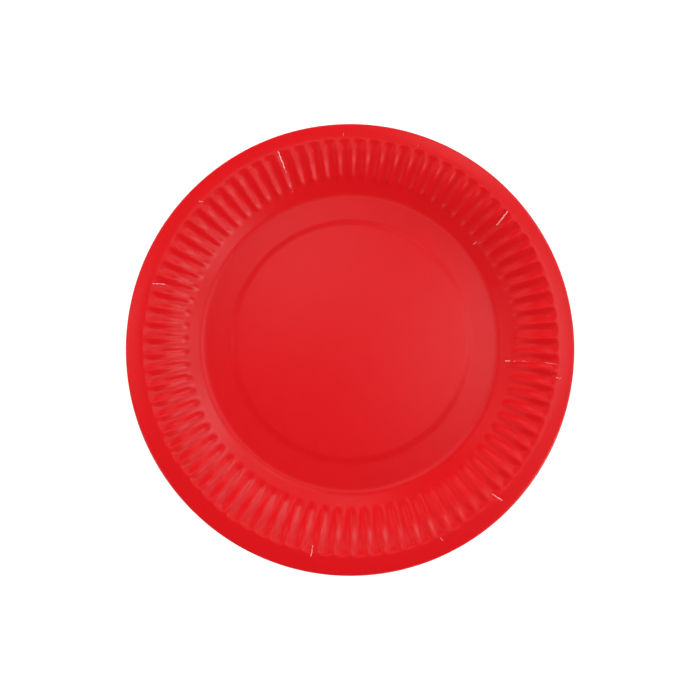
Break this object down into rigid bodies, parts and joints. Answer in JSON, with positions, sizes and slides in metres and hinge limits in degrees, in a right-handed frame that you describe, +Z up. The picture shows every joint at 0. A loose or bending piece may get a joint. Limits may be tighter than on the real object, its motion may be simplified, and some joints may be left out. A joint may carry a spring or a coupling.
{
  "type": "paper plate",
  "caption": "Round disposable plate pressed from red coated board, with a raised centre panel, a sloping fluted wall and a flat lip.",
  "frame": {"origin": "centre of the round rim, at the level of the surface the plate stands on", "axes": "+Z up, out of the side that holds food; +X and +Y lie in the plane of the rim"},
  "size_m": [0.23, 0.23, 0.0169],
  "materials": {
    "red_board": "semi-gloss coated"
  },
  "bodies": {
    "root": {"plate": "red_board"}
  },
  "joints": []
}
